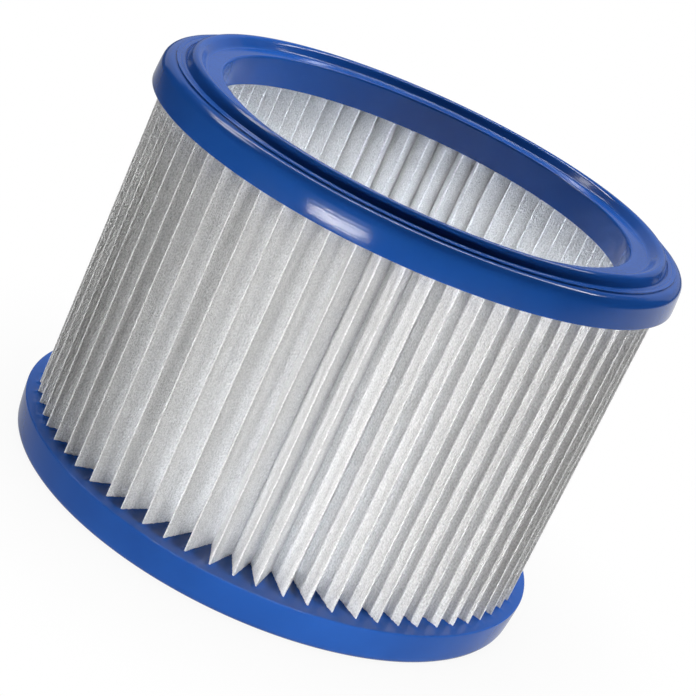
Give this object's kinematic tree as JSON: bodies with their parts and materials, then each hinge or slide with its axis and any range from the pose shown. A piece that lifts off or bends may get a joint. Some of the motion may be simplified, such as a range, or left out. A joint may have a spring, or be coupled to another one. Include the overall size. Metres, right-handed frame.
{
  "type": "vacuum cartridge filter",
  "caption": "Round pleated filter cartridge for a wet and dry vacuum cleaner: folded fleece cast into blue end rings, with an open bore and a raised sealing lip on the top ring.",
  "frame": {"origin": "centre of the bottom ring's flat lower face", "axes": "+Z along the cartridge's axis, towards the sealing lip; X and Y are alike"},
  "size_m": [0.187, 0.187, 0.14],
  "materials": {
    "fleece": "stiff off-white non-woven fleece, matte and slightly fibrous",
    "cast_ring": "mid blue cast polyurethane, smooth and semi-gloss"
  },
  "bodies": {
    "root": {"pleated_media": "fleece", "top_end_cap": "cast_ring", "bottom_end_cap": "cast_ring"}
  },
  "joints": []
}
